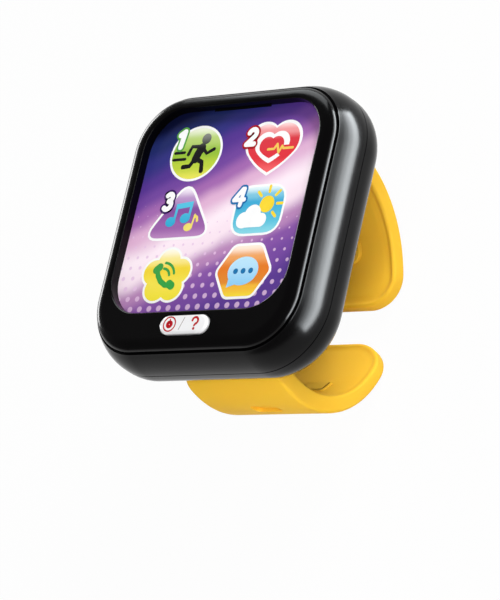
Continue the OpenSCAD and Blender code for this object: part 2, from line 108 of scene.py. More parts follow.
def ring(w, l, r, z, y=0.0, x=0.0, segments=16):
    """Adds a rounded rectangle of edges and returns its span of vertex numbers."""
    first = count()
    bpy.ops.mesh.select_all(action="DESELECT")
    bpy.ops.mesh.primitive_plane_add(size=1, location=(x, y, z))
    bpy.ops.transform.resize(value=(w, l, 1), center_override=(x, y, z))
    bpy.ops.mesh.bevel(affect="VERTICES", offset=r, segments=segments, profile=0.5)
    bpy.ops.mesh.delete(type="ONLY_FACE")
    return first, count()


def case_ring(r, z):
    """Outline of the case with corners of radius r."""
    return ring(2 * (CORNER_X + r), 2 * (CORNER_Y + r), r, z)


def case_rings(*points):
    return [case_ring(r, z) for r, z in points]


def empty_mesh(name):
    """New object in edit mode with nothing in its mesh."""
    deselect()
    bpy.ops.mesh.primitive_plane_add(size=1)
    obj = named(name)
    edit()
    bpy.ops.mesh.delete(type="VERT")
    return obj


def outward():
    """In edit mode, selects everything and turns the faces outwards."""
    bpy.ops.mesh.select_all(action="SELECT")
    bpy.ops.mesh.normals_make_consistent(inside=False)


def skin(spans, closed=False, low=False, high=False):
    """Bridges rings one after another, and closes the stack or caps its ends."""
    pairs = list(zip(spans, spans[1:])) + ([(spans[-1], spans[0])] if closed else [])
    for pair in pairs:
        select(in_span(*pair))
        bpy.ops.mesh.bridge_edge_loops()
    for cap, span in ((low, spans[0]), (high, spans[-1])):
        if cap:
            select(in_span(span))
            bpy.ops.mesh.edge_face_add()
    outward()


def apply(obj, kind, **settings):
    pick(obj)
    mod = obj.modifiers.new(kind.lower(), kind)
    for key, value in settings.items():
        setattr(mod, key, value)
    bpy.ops.object.modifier_apply(modifier=mod.name)


def cut(obj, tool, operation="DIFFERENCE"):
    """Boolean with a tool that is used up."""
    apply(obj, "BOOLEAN", object=tool, operation=operation, solver="EXACT")
    bpy.data.objects.remove(tool)


def tube(x, y, r, low, high, sides=48, axis=None):
    """Cylinder at X and Y between two levels, or along X at Y and Z."""
    deselect()
    middle = (low + high) / 2
    place = dict(location=(x, y, middle))
    if axis == "X":
        place = dict(location=(middle, x, y), rotation=(0, pi / 2, 0))
    bpy.ops.mesh.primitive_cylinder_add(vertices=sides, radius=r, depth=high - low, **place)
    bpy.ops.object.transform_apply(location=True, rotation=True, scale=True)
    return named("tube")


def box(x, y, z, w, l, h):
    deselect()
    bpy.ops.mesh.primitive_cube_add(size=1, location=(x, y, z))
    bpy.context.object.scale = (w, l, h)
    bpy.ops.object.transform_apply(location=True, rotation=True, scale=True)
    return named("box")


def block(name, w, l, r, low, high, y=0.0, x=0.0, segments=16):
    """Upright block on a rounded rectangle."""
    obj = empty_mesh(name)
    skin([ring(w, l, r, z, y, x, segments) for z in (low, high)], low=True, high=True)
    leave()
    return obj


def join(first, *others):
    deselect()
    for other in others:
        other.select_set(True)
    first.select_set(True)
    bpy.context.view_layer.objects.active = first
    bpy.ops.object.join()
    return first


def done(obj, body, material, nodes=(), angle=35, weighted=True):
    """Brings a finished piece to metres, shades it and hangs it on its body."""
    obj.data.validate()
    pick(obj)
    obj.scale = (MM, MM, MM)
    bpy.ops.object.transform_apply(location=True, rotation=True, scale=True)
    bpy.ops.object.shade_smooth_by_angle(angle=radians(angle))
    if weighted:
        apply(obj, "WEIGHTED_NORMAL", keep_sharp=True, weight=80)
    obj.data.materials.clear()
    obj.data.materials.append(material)
    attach(obj, body)
    if nodes:
        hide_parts(*nodes)
    return obj


class Sock:
    """An output socket that takes part in arithmetic."""

    def __init__(self, tree, socket):
        self.tree, self.socket = tree, socket

    def maths(self, operation, *values, clamp=False):
        n = self.tree.nodes.new("ShaderNodeMath")
        n.operation, n.use_clamp = operation, clamp
        for i, value in enumerate(values):
            if isinstance(value, Sock):
                self.tree.links.new(value.socket, n.inputs[i])
            else:
                n.inputs[i].default_value = value
        return Sock(self.tree, n.outputs[0])

    def __add__(self, o): return self.maths("ADD", self, o)
    def __radd__(self, o): return self.maths("ADD", o, self)
    def __sub__(self, o): return self.maths("SUBTRACT", self, o)
    def __rsub__(self, o): return self.maths("SUBTRACT", o, self)
    def __mul__(self, o): return self.maths("MULTIPLY", self, o)
    def __rmul__(self, o): return self.maths("MULTIPLY", o, self)
    def __truediv__(self, o): return self.maths("DIVIDE", self, o)
    def __rtruediv__(self, o): return self.maths("DIVIDE", o, self)
    def __pow__(self, o): return self.maths("POWER", self, o)
    def __neg__(self): return self.maths("MULTIPLY", self, -1.0)


class Paint:
    """A material around one Principled shader."""

    def __init__(self, name, color, rough, **constants):
        self.material = bpy.data.materials.new(name)
        self.material.use_nodes = True
        self.tree = self.material.node_tree
        self.shader = self.tree.nodes["Principled BSDF"]
        self.set("Base Color", color)
        self.set("Roughness", rough)
        for key, value in constants.items():
            self.set(key.replace("_", " "), value)
        self.material.diffuse_color = (*color, 1)

    def set(self, socket, value):
        if isinstance(value, Sock):
            self.tree.links.new(value.socket, self.shader.inputs[socket])
        elif isinstance(value, tuple) and len(value) == 3:
            self.shader.inputs[socket].default_value = (*value, 1)
        else:
            self.shader.inputs[socket].default_value = value

    def node(self, kind, out=0, settings=None, **values):
        """Adds any node; values set or link its inputs by name, _ for a space, or by number as i6."""
        n = self.tree.nodes.new("ShaderNode" + kind)
        for key, value in (settings or {}).items():
            setattr(n, key, value)
        for key, value in values.items():
            numbered = key[0] == "i" and key[1:].isdigit()
            socket = n.inputs[int(key[1:]) if numbered else key.replace("_", " ")]
            if isinstance(value, Sock):
                self.tree.links.new(value.socket, socket)
            elif socket.type == "RGBA":
                socket.default_value = (*value, 1)
            else:
                socket.default_value = value
        return Sock(self.tree, n.outputs[out])

    def place(self):
        return self.node("TexCoord", "Object")

    def along(self, axis):
        """Place along X, Y or Z in millimetres."""
        return self.node("SeparateXYZ", axis, Vector=self.place()) * PER_METRE

    def noise(self, per_mm, detail=2.0):
        return self.node("TexNoise", "Fac", Vector=self.place(), Scale=per_mm * PER_METRE,
                         Detail=detail)

    def mix(self, fac, a, b):
        return self.node("Mix", 2, {"data_type": "RGBA"}, Factor=fac, i6=a, i7=b)

    def drift(self, fac, color, down, up):
        """Colour between two shares of itself."""
        return self.mix(fac, *(tuple(min(1, c * share) for c in color) for share in (down, up)))

    def bump(self, height, strength, depth):
        self.set("Normal", self.node("Bump", Height=height, Strength=strength, Distance=depth))


def plain(name, color, rough, metallic=0.0, vary=0.12, per_mm=0.6, grain=None, **constants):
    """Material whose colour and roughness drift a little over the piece."""
    p = Paint(name, color, rough, Metallic=metallic, **constants)
    drift = p.noise(per_mm, 3.0)
    p.set("Base Color", p.drift(drift, color, 1 - vary, 1 + vary))
    p.set("Roughness", rough * 0.85 + drift * (rough * 0.3))
    if grain:
        p.bump(p.noise(grain[0], 2.0), grain[1], grain[2])
    return p.material


def flat(name, points):
    """Filled outline in the XY plane, left in edit mode and selected."""
    deselect()
    bpy.ops.mesh.primitive_circle_add(vertices=len(points), fill_type="NGON")
    obj = named(name)
    for v, p in zip(obj.data.vertices, points):
        v.co = (p[0], p[1], 0)
    edit()
    bpy.ops.mesh.select_all(action="SELECT")
    return obj


def prism(name, points, low, high):
    """Upright block on an outline."""
    obj = flat(name, points)
    bpy.ops.transform.translate(value=(0, 0, low))
    bpy.ops.mesh.extrude_region_move(TRANSFORM_OT_translate={"value": (0, 0, high - low)})
    outward()
    leave()
    return obj


def across(name, points, width):
    """Block along X on an outline of Y and Z."""
    obj = prism(name, points, -width / 2, width / 2)
    obj.data.transform(Matrix(((0, 0, 1, 0), (1, 0, 0, 0), (0, 1, 0, 0), (0, 0, 0, 1))))
    return obj


def turn(low, high, steps):
    """Angles from low to high degrees, in radians."""
    return [radians(low + (high - low) * k / steps) for k in range(steps + 1)]


# Finishes of the mouldings
def gloss_black():
    p = Paint("gloss black", (0.006, 0.006, 0.008), 0.16, IOR=1.23)
    drift = p.noise(0.05, 3.0)
    p.set("Base Color", p.mix(drift, (0.0008, 0.0007, 0.0008), (0.0014, 0.0012, 0.0014)))
    p.set("Roughness", 0.15 + drift * 0.08)
    p.bump(p.noise(0.12, 1.0), 0.05, 0.00002)
    return p.material


def strap_yellow():
    p = Paint("golden yellow rubber", (0.93, 0.535, 0.042), 0.42, Specular_IOR_Level=0.01,
              Subsurface_Weight=0.15, Subsurface_Scale=0.004)
    p.shader.inputs["Subsurface Radius"].default_value = (1.0, 0.5, 0.1)
    drift = p.noise(0.08, 3.0)
    p.set("Base Color", p.mix(drift, (0.91, 0.515, 0.036), (0.95, 0.555, 0.048)))
    p.set("Roughness", 0.38 + drift * 0.12)
    p.bump(p.noise(3.0, 2.0), 0.08, 0.00004)
    return p.material


black = gloss_black()
yellow = strap_yellow()
white = plain("gloss white", (0.86, 0.86, 0.87), 0.2, vary=0.03, per_mm=0.2,
              Coat_Weight=0.4, Coat_Roughness=0.06)


# Front frame: window wall, rim, face, rolled edge, shoulder and skirt
def front_frame():
    obj = empty_mesh("front bezel shell")
    rim, edge, drop = 0.45, 2.4, 1.75
    window = lambda grow, z: ring(43.9 + 2 * grow, 43.4 + 2 * grow, 8.4 + grow, z, 2.5)
    loops = [window(0, FILM_Z)]
    loops += [window(rim * (1 - cos(a)), FACE_Z - rim + rim * sin(a)) for a in turn(0, 90, 4)]
    loops += [case_ring(11 - edge + edge * sin(a), FACE_Z - drop + drop * cos(a))
              for a in turn(0, 90, 10)]
    loops += case_rings((11, 45.5), (10.4, 45.5), (10.4, 42.2), (9.1, 42.2), (9.1, FILM_Z))
    skin(loops, closed=True)
    leave()
    cut(obj, block("hole", 12.3, 4.4, 2.19, 44, 49, KEY_Y))
    return done(obj, "case", black, ["front_bezel"])


# Swelling side ring with its lip, and the posts inside it
def side_ring():
    obj = empty_mesh("mid body shell")
    widest, swell = 13.4, 11.24
    first, last, steps = 0.15, 6.25, 12
    heights = [first + (last - first) * k / steps for k in range(steps + 1)]
    loops = [case_ring(13.3, PART_Z)]
    loops += [case_ring(widest - swell + sqrt(swell ** 2 - h * h), PART_Z + h) for h in heights]
    loops += case_rings((11.46, 45.87), (11.42, 45.88), (11.4, 45.84), (11.4, 45.5), (10.5, 45.5),
                        (10.5, 40.8), (12.55, 40.8), (12.55, PART_Z))
    skin(loops, closed=True)
    leave()
    posts = []
    for x, y in SCREWS:
        posts += [tube(x, y, 2.6, PART_Z, 42.3, 32), tube(x, y, 0.7, 42.0, 43.3, 16)]
    join(obj, *posts)
    for x, y in SCREWS:
        cut(obj, tube(x, y, 1.03, PART_Z - 1, PART_Z + 2.1, 24))
    return done(obj, "case", black, ["mid_body"])


def back_bowl(name, brim, roll, steps):
    """Solid bowl: rings of the brim, then a round of radius roll in to the back."""
    corner, level = 6.5, 38.3
    obj = empty_mesh(name)
    loops = case_rings(*brim)
    loops += [case_ring(corner + roll * cos(a), level - roll * sin(a)) for a in turn(0, 90, steps)]
    skin(loops, low=True, high=True)
    leave()
    return obj


def back_form(name):
    return back_bowl(name, [(13.3, PART_Z), (13.4, PART_Z - 0.12)], 6.9, 14)


# For each side of the strap: Y of the pin, then outer radius, middle Y and thinning of the arc
PINS = {1: (22.73, 28.0, -2.6, 0.4), -1: (23.53, 22.5, 6.7, 0.8)}
PIN_Z, END = 34.4, radians(4.6)
STRAP_W, STRAP_T = 24.2, 3.7


def pocket(side):
    """Clear space for a strap root, open as far as the half swings."""
    y, r, middle, taper = PINS[side]
    clear, below, swing, shut, width = 2.65, -4, 25, 180 - degrees(0.75), 24.8
    centre_z = r * cos(END)
    inner = middle + sqrt((r - STRAP_T) ** 2 - (BACK_Z - centre_z + taper) ** 2) - 0.6 - y
    open_to = atan2(PIN_Z - centre_z, y - middle) + radians(swing)
    top = Vector((cos(open_to), sin(open_to))) * clear
    outer = top + Vector((sin(open_to), -cos(open_to))) * 5
    points = [Vector((cos(a), sin(a))) * clear for a in turn(degrees(open_to), shut, 18)]
    points += [Vector((inner, 0)), Vector((inner, below)), Vector((outer.x, below)), outer]
    return across("pocket", [(side * (y + p.x), PIN_Z + p.y) for p in points], width)


def door_recess(grow, low, high):
    plate = block("recess", 25.7 + 2 * grow, 13.8 + 2 * grow, 1.6 + grow, low, high, DOOR_Y)
    cut(plate, tube(*DOOR_SCREW, 3 + grow, low, high), "UNION")
    return plate


# Back shell with lugs, posts, battery bay and speaker collar
def back_shell():
    obj = back_form("back cover shell")
    cut(obj, back_bowl("hollow", [(11.8, PART_Z + 1)], 5.3, 10))
    inside = [tube(side * PINS[side][0], PIN_Z, 3.85, -15, 15, 48, "X") for side in PINS]
    inside += [tube(x, y, 2.6, BACK_Z, PART_Z) for x, y in SCREWS]
    inside.append(block("bay", 27.3, 15.4, 3.2, BACK_Z, 39.9, DOOR_Y))
    inside.append(tube(*DOOR_SCREW, 3.8, BACK_Z, 38))
    inside.append(tube(0, SPEAKER_Y, 9.1, BACK_Z, 36.2, 64))
    for piece in inside:
        cut(piece, back_form("limit"), "INTERSECT")
        cut(obj, piece, "UNION")
    tongue = empty_mesh("tongue")
    skin(case_rings((12.45, 38.6), (12.45, 40.7), (11.45, 40.7), (11.45, 38.6)), closed=True)
    leave()
    cut(obj, tongue, "UNION")
    holes = [pocket(1), pocket(-1), door_recess(0.2, BACK_Z - 1, BACK_Z + 1.6),
             box(0, DOOR_Y, 35.2, 24.1, 12.2, 7.6)]
    holes += [tube(side * PINS[side][0], PIN_Z, 1.03, -14.7, 14.7, 32, "X") for side in PINS]
    for sx in SIDES:
        for sy in SIDES:
            x, y = sx * SCREW_X, sy * SCREW_Y
            holes += [tube(x, y, 1.1, BACK_Z - 1, PART_Z + 1, 24),
                      tube(x, y, 1.9, BACK_Z - 1, BACK_Z + 2.6, 32)]
        holes.append(box(sx * DOOR_SCREW[0], -5.5, 39, 2.2, 0.5, 3.8))
    holes += [tube(*DOOR_SCREW, 0.93, BACK_Z, 36.5, 24), tube(0, SPEAKER_Y, 8.1, 33, 41, 64)]
    sound = [(0, SPEAKER_Y)] + [(3.6 * cos(a), SPEAKER_Y + 3.6 * sin(a)) for a in turn(0, 300, 5)]
    holes += [tube(x, y, 0.7, 30, 34, 24) for x, y in sound]
    for hole in holes:
        cut(obj, hole)
    return done(obj, "case", black, ["back_cover"])


def button_pill():
    obj = empty_mesh("power button pill")
    edge = 0.55
    pill = lambda inset, z: ring(11.9 - 2 * inset, 3.8 - 2 * inset, 1.899 - inset, z, PILL_Y, 0, 14)
    loops = [pill(0, 44.8), pill(0, BUTTON_TOP - edge)]
    loops += [pill(edge * (1 - cos(a)), BUTTON_TOP - edge + edge * sin(a)) for a in turn(15, 90, 5)]
    skin(loops, low=True, high=True)
    leave()
    ears = [box(side * 4.75, KEY_Y, 45.15, 5.6, 3, 0.7) for side in SIDES]
    for ear in ears:
        cut(obj, ear, "UNION")
    return done(obj, "button", white, ["power_button"])


front_frame()
side_ring()
back_shell()
button_pill()


def strap_point(side, x, along, depth):
    """Where a point of the flat strap goes: along is from the end, depth from the outer face."""
    _, r, middle, taper = PINS[side]
    angle = END + along / r
    inner = taper * cos(angle) + sqrt((r - STRAP_T) ** 2 - (taper * sin(angle)) ** 2)
    away = r - depth / STRAP_T * (r - inner)
    return Vector((x, side * (middle + away * sin(angle)), r * cos(END) - away * cos(angle)))


def strap_half(name, side, groove, slot=None):
    """Soft strap half: flat stack with a groove inside its edge, cut into strips and rolled up."""
    y, r, middle, _ = PINS[side]
    outer_edge, inner_edge, steps = 0.7, 0.6, 60
    bed = ((0.75, 0.08), (1.0, 0.5), (1.3, 0.9), (1.6, 1.0), (2.0, 0.9), (2.6, 0.55), (3.2, 0.45))
    length = r * (atan2(y - middle, r * cos(END) - PIN_Z) - END)
    obj = empty_mesh(name)
    lay = lambda inset, h: ring(STRAP_W - 2 * inset, length - 1.5 * inset, 7.3 - inset, h,
                                (length + inset / 2) / 2)
    quarter = turn(0, 90, 5)
    loops = [lay(outer_edge * (1 - sin(a)), outer_edge * (1 - cos(a))) for a in quarter]
    loops += [lay(inner_edge * (1 - cos(a)), STRAP_T - inner_edge * (1 - sin(a))) for a in quarter]
    loops += [lay(inset, STRAP_T - groove * share) for inset, share in bed]
    skin(loops, low=True, high=True)
    for k in range(1, steps):
        bpy.ops.mesh.select_all(action="SELECT")
        bpy.ops.mesh.bisect(plane_co=(0, length * k / steps, 0), plane_no=(0, 1, 0))
    leave()
    for v in obj.data.vertices:
        v.co = strap_point(side, v.co.x, v.co.y, v.co.z)
    edit()
    outward()
    leave()
    if slot:
        cut(obj, on_arc(block("slot", *slot[:3], -0.8, 0.8), side, *slot[3:]))
    cut(obj, tube(side * y, PIN_Z, 2.13, -11.93, 11.93, 44, "X"), "UNION")
    cut(obj, tube(side * y, PIN_Z, 1.06, -13, 13, 32, "X"))
    return obj


def on_arc(obj, side, x, angle, away):
    """Sets a piece made round the origin on a strap arc, its +Z pointing out of the arc."""
    _, r, middle, _ = PINS[side]
    out = Vector((0, side * sin(radians(angle)), -cos(radians(angle))))
    along = out.cross(Vector((1, 0, 0)))
    at = Vector((x, side * middle, r * cos(END))) + out * away
    obj.data.transform(Matrix(((1, along.x, out.x, at.x), (0, along.y, out.y, at.y),
                               (0, along.z, out.z, at.z), (0, 0, 0, 1))))
    return obj


def loop_mark(w, l, r, wall, h):
    """Low raised frame with soft edges."""
    obj = empty_mesh("mark")
    ease, low = 0.15, h * 0.4
    profile = ((-ease, h), (0, low), (ease, 0), (wall - ease, 0), (wall, low), (wall + ease, h))
    skin([ring(w - 2 * i, l - 2 * i, r - i, z, 0, 0, 8) for i, z in profile], closed=True)
    leave()
    return obj


upper = strap_half("upper strap half", 1, 0.45)
lower = strap_half("lower strap half", -1, 0.2, (6.4, 3.6, 1.0, 1.2, 86, 22.5))
join(upper, on_arc(loop_mark(6.2, 6.2, 3.09, 0.9, 0.9), 1, 1.0, 32, 24.0))
join(lower, on_arc(loop_mark(6.6, 4.0, 0.9, 0.9, 0.9), -1, 1.2, 42, 19.05))
done(upper, "upper_half", yellow, ["upper_strap"], angle=40, weighted=False)
done(lower, "lower_half", yellow, ["lower_strap"], angle=40, weighted=False)


# Printed face: own plain pictograms, each a thin layer on the film
def tone(code):
    """Linear colour from a six-digit tone."""
    parts = [int(code[i:i + 2], 16) / 255 for i in (0, 2, 4)]
    return tuple(c / 12.92 if c <= 0.04045 else ((c + 0.055) / 1.055) ** 2.4 for c in parts)


def ramp(p, value, stops):
    """Colour along a value, from pairs of value and tone."""
    low, high = stops[0][0], stops[-1][0]
    color = p.node("ValToRGB", "Color", Fac=(value - low) / (high - low))
    band = color.socket.node.color_ramp
    band.interpolation = "EASE"
    for i, (at, code) in enumerate(stops):
        stop = band.elements[i] if i < 2 else band.elements.new(1.0)
        stop.position, stop.color = (at - low) / (high - low), (*tone(code), 1)
    return color


def face_print():
    """Night violet with a broad pale streak and staggered dots that grow towards 6 o'clock."""
    p = Paint("printed film", tone("6b45a0"), 0.14, IOR=PRINT_IOR)
    x, y = p.along("X"), p.along("Y")
    pitch, row = 2.45, 4.4
    streak = y - x * 0.45 + (p.noise(0.12, 1.0) - 0.5) * 3.0
    ground = ramp(p, streak, [
        (-20, "5b3b90"), (-15, "75499d"), (-11, "8554a3"), (-7.5, "b584b6"), (-3, "f6e2ee"),
        (1, "fae9f3"), (6, "deb0d2"), (10, "a268ae"), (14, "71469c"), (18, "55368f"),
        (22, "33327e"), (26, "202a63"), (30, "0e1337")])
    a, b = x / pitch + y / row, x / pitch - y / row
    a, b = a - a.maths("ROUND", a), b - b.maths("ROUND", b)
    aside, up = (a + b) * (pitch / 2), (a - b) * (row / 2)
    radius = (8.0 - y) * 0.026
    near = (radius - (aside * aside + up * up) ** 0.5) * 8.0
    dot = near.maths("ADD", near, 0.0, clamp=True)
    p.set("Base Color", p.mix(dot * 0.75, ground, tone("e2bfe0")))
    p.set("Roughness", 0.12 + p.noise(0.05) * 0.06)
    return p.material


def ink(name, *stops, rough=0.2):
    """Print ink: one tone with a faint drift, or tones along 6 to 12 o'clock."""
    single = isinstance(stops[0], str)
    color = tone(stops[0] if single else stops[0][1])
    p = Paint(name, color, rough, IOR=PRINT_IOR)
    if single:
        p.set("Base Color", p.drift(p.noise(0.4), color, 0.94, 1.04))
    else:
        p.set("Base Color", ramp(p, p.along("Y"), stops))
    p.set("Roughness", rough * 0.8 + p.noise(0.1) * (rough * 0.4))
    return p.material


def oval(x, y, rx, ry=None, sides=40):
    angles = turn(0, 360 - 360 / sides, sides - 1)
    return [(x + rx * cos(a), y + (ry or rx) * sin(a)) for a in angles]


def curve(a, bend, b, shares):
    """Points on the way from a to b, drawn towards bend."""
    return [a * (1 - t) ** 2 + bend * 2 * t * (1 - t) + b * t * t for t in shares]


def soft(corners, radius, steps=6):
    """Outline with its corners rounded, each over a length of the sides beside it."""
    out = []
    n = len(corners)
    for i in range(n):
        p, before, after = (Vector(corners[j % n]) for j in (i, i - 1, i + 1))
        a = p + (before - p).normalized() * radius
        b = p + (after - p).normalized() * radius
        out += [tuple(v) for v in curve(a, p, b, [k / steps for k in range(steps + 1)])]
    return out


def stroke(points, width, steps=8):
    """Outline of a thick line with round ends."""
    pts = [Vector(p) for p in points]
    left, right = [], []
    for i, p in enumerate(pts):
        d = (pts[min(i + 1, len(pts) - 1)] - pts[max(i - 1, 0)]).normalized()
        side = Vector((-d.y, d.x)) * width / 2
        left.append(p + side)
        right.append(p - side)
    ends = []
    for p, q in ((pts[-1], pts[-2]), (pts[0], pts[1])):
        base = atan2((p - q).y, (p - q).x)
        ends.append([p + Vector((cos(base + a), sin(base + a))) * width / 2
                     for a in turn(80, -80, steps)])
    return [tuple(v) for v in left + ends[0] + right[::-1] + ends[1]]


def arc(x, y, r, low, high, steps=14):
    return [(x + r * cos(a), y + r * sin(a)) for a in turn(low, high, steps)]


def heart(x, y, w, h):
    """Plain heart from two round lobes, w wide and h tall, round the middle of its height."""
    lobe, off = 0.303 * w, 0.197 * w
    top, tip = y + h / 2 - lobe, Vector((x, y - h / 2))
    notch = degrees(atan2(sqrt(lobe ** 2 - off ** 2), -off))
    side = [Vector(p) for p in arc(x + off, top, lobe, notch, -38, 20)]
    bend = side[-1] * 0.5 + tip * 0.5 + Vector((0.05 * w, -0.03 * w))
    side += curve(side[-1], bend, tip, (0.2, 0.4, 0.6, 0.8))
    return [tuple(p) for p in side] + [tuple(tip)] + [(2 * x - p.x, p.y) for p in side[:0:-1]]


def grow(outline, by):
    """Outline moved outwards along its own sides."""
    pts = [Vector(p) for p in outline]
    area = sum(a.cross(b) for a, b in zip(pts, pts[1:] + pts[:1]))
    out = []
    for i, p in enumerate(pts):
        d = (pts[(i + 1) % len(pts)] - pts[i - 1]).normalized()
        out.append(tuple(p + Vector((d.y, -d.x)) * by * (1 if area > 0 else -1)))
    return out


def decal(name, material, outlines, layer, body="case", slot="film_print", base=FILM_Z):
    """One thin printed piece from several outlines."""
    low = base + layer * LAYER
    parts = [prism(name, outline, low + LIFT, low + LAYER) for outline in outlines]
    obj = parts[0]
    for part in parts[1:]:
        cut(obj, part, "UNION")
    return done(obj, body, material, angle=20, weighted=False)


paper_white = ink("white ink", "f8f8f8")
night = ink("black ink", "0a0a0c")
aqua = ink("aqua ink", (-1, "2fa6cf"), (5, "58c4e2"))
sun = ink("sun ink", "f6d638")
leaf = ink("leaf ink", (-14, "35a045"), (-8, "3f9d4a"))

disc = oval(-9.65, 15.05, 6.05, 5.45, 56)
big_heart = heart(9.6, 14.85, 12.6, 10.3)
triangle = soft([(-9.5, 9.0), (-18.0, -2.75), (-1.4, -2.75)], 3.6)
square = soft([(3.95, 6.75), (3.95, -2.95), (15.45, -2.95), (15.45, 6.75)], 3.4)
hexagon = soft([(2.9, -10.7), (6.15, -5.5), (12.65, -5.5), (15.95, -10.7),
               (12.65, -15.9), (6.15, -15.9)], 0.9)
petals = [(-9.85 + 3.3 * cos(a), -10.95 + 3.05 * sin(a)) for a in turn(90, 378, 4)]
flower = [oval(x, y, 2.75, 2.6) for x, y in petals] + [oval(-9.85, -10.95, 3.3)]

decal("disc edge", paper_white, [grow(disc, 0.5)], 1)
decal("disc ground", ink("lime", (9.5, "e6e25a"), (12.5, "b9cf3f"), (15, "93bd3a"),
                         (18, "b7d176"), (20.6, "eef3de")), [disc], 2)
decal("runner", ink("runner ink", (10, "121212"), (16, "1a1a1a"), (19.5, "8a8d86")), [
    oval(-7.75, 18.05, 1.15), stroke([(-8.45, 16.2), (-9.1, 15.0), (-9.45, 13.9)], 2.0),
    stroke([(-9.2, 16.5), (-11.0, 16.6), (-11.6, 15.0)], 0.85),
    stroke([(-8.2, 16.2), (-6.9, 14.9), (-5.2, 15.7)], 0.8),
    stroke([(-9.5, 13.9), (-7.7, 13.1), (-7.35, 11.2)], 1.05),
    stroke([(-9.7, 13.9), (-10.6, 12.4), (-12.3, 12.3)], 1.0),
    stroke([(-15.1, 15.45), (-12.7, 15.45)], 0.62),
    stroke([(-15.2, 14.0), (-12.2, 14.0)], 0.62)], 3)
decal("heart edge", paper_white, [heart(9.6, 14.8, 13.9, 11.6)], 1)
heart_red = ink("heart red", (9.5, "f2686c"), (13, "dd3540"), (16.5, "d93a45"),
                (18.5, "ee9a9c"), (20.2, "f9dcdc"))
decal("heart ground", heart_red, [big_heart], 2)
decal("heart ring", paper_white, [heart(9.4, 15.0, 8.4, 6.7)], 3)
decal("heart band", heart_red, [heart(9.3, 15.0, 6.0, 4.6),
                               soft([(10.8, 14.1), (12.5, 12.5), (14.3, 13.4),
                                     (14.2, 15.3), (11.6, 15.3)], 0.4)], 4)
pulse = [(8.6, 14.6), (10.1, 14.6), (10.7, 15.6), (11.4, 13.75), (12.0, 15.1), (12.4, 14.6),
         (14.7, 14.6)]
decal("pulse line", ink("pulse ink", "f0c95e"),
      [stroke(pair, 0.5) for pair in zip(pulse, pulse[1:])], 5)
decal("triangle edge", paper_white, [grow(triangle, 0.55)], 1)
decal("triangle ground", ink("plum", (-3, "b987bd"), (-0.5, "9a62a8"), (3, "84509c"),
                             (5.2, "b893c6"), (7.6, "f1e9f4")), [triangle], 2)
decal("beamed notes", aqua, [oval(-12.1, 0.6, 1.25, 1.05), oval(-8.55, 1.2, 1.25, 1.05),
                             stroke([(-11.25, 0.8), (-11.05, 4.0)], 0.6),
                             stroke([(-7.6, 1.3), (-7.5, 4.3)], 0.6),
                             [(-11.4, 3.2), (-7.2, 3.6), (-7.2, 4.75), (-11.4, 4.35)]], 3)
decal("single note", ink("note ink", "f0dc6e"), [
    oval(-7.25, -0.75, 1.1, 0.85), stroke([(-6.4, -0.6), (-6.1, 1.8)], 0.45),
    stroke([(-6.1, 1.6), (-5.5, 1.25), (-5.25, 0.5)], 0.6)], 3)
decal("square edge", paper_white, [grow(square, 0.5)], 1)
decal("square ground", ink("sky blue", (-3, "86d3e2"), (0, "58bcd8"), (3.5, "41a9d3"),
                           (5, "7cc4dd"), (6.8, "e3f3f6")), [square], 2)
rays = zip(*(arc(11.5, 3.0, r, -45, 135, 4) for r in (2.55, 3.75)))
decal("sun", sun, [oval(11.5, 3.0, 1.75)] + [stroke(ray, 0.62) for ray in rays], 3)
decal("cloud", paper_white, [oval(6.5, -0.1, 1.7), oval(8.5, 1.1, 1.95), oval(10.7, -0.25, 1.45),
                             stroke([(6.4, -0.95), (10.9, -0.95)], 1.45)], 4)
decal("flower edge", paper_white, [grow(o, 0.5) for o in flower], 1)
decal("flower ground", ink("flower yellow", (-16, "f2e23c"), (-12.5, "f3e04e"),
                           (-9.5, "f0d43a"), (-7.5, "f7e78f"), (-5.4, "fdf8e2")), flower, 2)
decal("handset", leaf, [
    stroke([(-12.4, -9.0), (-12.0, -10.6), (-11.0, -11.9), (-9.6, -12.8), (-8.0, -12.9)], 1.15),
    stroke([(-12.65, -9.5), (-11.9, -8.95)], 1.7), stroke([(-8.6, -12.55), (-7.9, -13.0)], 1.7)], 3)
decal("call waves", leaf, [stroke(arc(-10.9, -11.2, r, 15, 85), 0.55) for r in (1.9, 3.1)], 3)
decal("hexagon edge", paper_white, [grow(hexagon, 0.55)], 1)
decal("hexagon ground", ink("amber", (-16, "f7d93c"), (-14, "f3b93a"),
                            (-12.8, "e0862f"), (-10, "e37a26"), (-7.8, "eda25f"), (-5.6, "fbe9d6")),
      [hexagon], 2)
decal("speech bubble", ink("bubble blue", (-14, "8ecbf0"), (-8, "b9e1f6")),
      [oval(9.4, -10.7, 3.7, 2.95), [(6.1, -14.0), (8.6, -13.3), (6.3, -11.6)]], 3)
decal("speech dots", ink("dot blue", "2071a8"),
      [oval(x, -10.7, 0.58) for x in (7.6, 9.45, 11.3)], 4)
digits = {
    "1": [[(-0.65, 0.85), (0.15, 1.4)], [(0.2, 1.4), (0.1, -1.45)]],
    "2": [arc(-0.05, 0.6, 0.8, 165, -45), [(0.5, 0.05), (-0.85, -1.35)],
          [(-0.85, -1.35), (0.8, -1.35)]],
    "3": [arc(-0.05, 0.72, 0.68, 140, -85), arc(-0.05, -0.65, 0.8, 85, -140)],
    "4": [[(0.2, 1.5), (-1.15, -0.45)], [(-1.15, -0.5), (1.05, -0.5)], [(0.5, 1.5), (0.45, -1.5)]]}
lean, size, margin = 0.1, 1.12, 0.85
